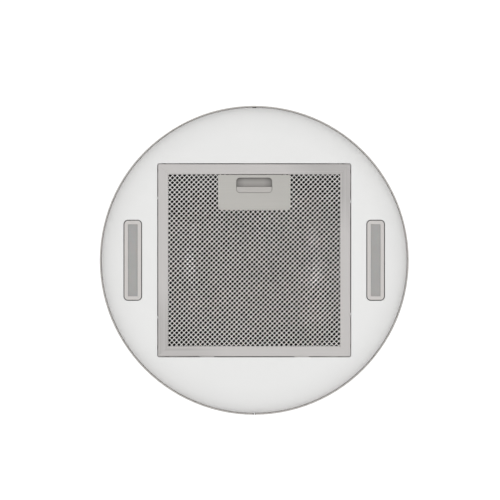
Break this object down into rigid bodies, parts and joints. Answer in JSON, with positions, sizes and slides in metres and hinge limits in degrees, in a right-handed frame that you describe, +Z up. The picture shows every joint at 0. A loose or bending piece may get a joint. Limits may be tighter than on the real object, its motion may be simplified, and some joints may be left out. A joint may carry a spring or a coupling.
{
  "type": "island range hood",
  "caption": "Round ceiling-hung range hood: telescoping steel cylinder, recessed white underside, square mesh grease filter with a pull latch, side lamps, blower inside.",
  "frame": {"origin": "centre of the ceiling plate's top face, where the hood hangs from the ceiling", "axes": "+Z up, -Y to the front (filter latch and push buttons), +X to the right seen from behind the hood"},
  "size_m": [0.39, 0.3905, 0.801],
  "materials": {
    "galvanised_steel": "galvanised sheet, matte spangle",
    "brushed_stainless": "fine brushed grain",
    "white_lacquer": "smooth semi-gloss lacquer",
    "filter_mesh": "bright expanded mesh",
    "lamp_trim": "satin",
    "frosted_diffuser": "frosted",
    "zinc_fastener": "zinc plated",
    "black_plastic": "moulded, matte",
    "grey_plastic": "moulded, satin",
    "rubber_seal": "matte rubber",
    "board_green": "solder mask",
    "cast_motor": "painted casting",
    "core_steel": "machined and laminated",
    "fascia_black": "gloss",
    "button_steel": "satin caps"
  },
  "bodies": {
    "ceiling_section": {"ceiling_plate": "galvanised_steel", "cable_grommet": "rubber_seal", "upper_rails": "galvanised_steel", "upper_sleeve": "brushed_stainless", "sleeve_screws": "zinc_fastener"},
    "hood": {"base_ring": "galvanised_steel", "blower_deck": "galvanised_steel", "blower_mounts": "zinc_fastener", "bottom_panel": "white_lacquer", "box_bracket": "galvanised_steel", "box_lid": "galvanised_steel", "cable_gland": "black_plastic", "capacitor": "grey_plastic", "control_board": "board_green", "control_box": "galvanised_steel", "control_housing": "black_plastic", "damper_pin": "zinc_fastener", "fascia": "fascia_black", "inlet_grille": "black_plastic", "lamp_bezel_left": "lamp_trim", "lamp_bezel_right": "lamp_trim", "lamp_boards": "board_green", "lamp_diffuser_left": "frosted_diffuser", "lamp_diffuser_right": "frosted_diffuser", "lamp_housings": "galvanised_steel", "lower_rails": "galvanised_steel", "lower_shell": "brushed_stainless", "motor_bearings": "core_steel", "motor_bracket": "galvanised_steel", "motor_case": "cast_motor", "outlet_adapter": "black_plastic", "outlet_collar": "black_plastic", "panel_fasteners": "zinc_fastener", "power_board": "board_green", "rail_fasteners": "zinc_fastener", "shell_seam_strip": "galvanised_steel", "stator": "core_steel", "terminal_block": "grey_plastic", "volute_left": "black_plastic", "volute_right": "black_plastic"},
    "impeller": {"impeller_wheel": "grey_plastic", "motor_shaft": "core_steel"},
    "flap_front": {"damper_flap_front": "grey_plastic"},
    "flap_rear": {"damper_flap_rear": "grey_plastic"},
    "filter": {"filter_frame_front": "brushed_stainless", "filter_frame_right": "brushed_stainless", "filter_frame_rear": "brushed_stainless", "filter_frame_left": "brushed_stainless", "filter_front_mesh": "filter_mesh", "filter_inner_mesh": "filter_mesh", "filter_rear_mesh": "filter_mesh", "latch_plate": "brushed_stainless", "latch_housing": "black_plastic", "latch_springs": "zinc_fastener"},
    "filter_latch": {"latch_slider": "brushed_stainless"},
    "button_1": {"button_1": "button_steel"},
    "button_2": {"button_2": "button_steel"},
    "button_3": {"button_3": "button_steel"},
    "button_4": {"button_4": "button_steel"},
    "button_5": {"button_5": "button_steel"}
  },
  "joints": [
    {"name": "height_adjust", "type": "slide", "parent": "ceiling_section", "child": "hood", "axis": [0, 0, 1], "range_m": [-0.12, 0.2]},
    {"name": "impeller_spin", "type": "hinge", "parent": "hood", "child": "impeller", "pos_m": [0, 0.025, -0.58], "axis": [1, 0, 0], "continuous": true},
    {"name": "flap_front_hinge", "type": "hinge", "parent": "hood", "child": "flap_front", "pos_m": [0, 0, -0.412], "axis": [-1, 0, 0], "range_deg": [0, 75]},
    {"name": "flap_rear_hinge", "type": "hinge", "parent": "hood", "child": "flap_rear", "pos_m": [0, 0, -0.412], "axis": [1, 0, 0], "range_deg": [0, 75]},
    {"name": "filter_hinge", "type": "hinge", "parent": "hood", "child": "filter", "pos_m": [0, 0.1208, -0.7925], "axis": [1, 0, 0], "range_deg": [0, 85]},
    {"name": "latch_slide", "type": "slide", "parent": "filter", "child": "filter_latch", "axis": [0, 1, 0], "range_m": [0, 0.006], "stiffness_N_per_m": 250, "springref_m": -0.004, "deforming": ["latch_springs"]},
    {"name": "button_1_press", "type": "slide", "parent": "hood", "child": "button_1", "axis": [0, 1, 0], "range_m": [0, 0.0012], "stiffness_N_per_m": 900, "springref_m": -0.001},
    {"name": "button_2_press", "type": "slide", "parent": "hood", "child": "button_2", "axis": [0, 1, 0], "range_m": [0, 0.0012], "stiffness_N_per_m": 900, "springref_m": -0.001},
    {"name": "button_3_press", "type": "slide", "parent": "hood", "child": "button_3", "axis": [0, 1, 0], "range_m": [0, 0.0012], "stiffness_N_per_m": 900, "springref_m": -0.001},
    {"name": "button_4_press", "type": "slide", "parent": "hood", "child": "button_4", "axis": [0, 1, 0], "range_m": [0, 0.0012], "stiffness_N_per_m": 900, "springref_m": -0.001},
    {"name": "button_5_press", "type": "slide", "parent": "hood", "child": "button_5", "axis": [0, 1, 0], "range_m": [0, 0.0012], "stiffness_N_per_m": 900, "springref_m": -0.001}
  ]
}
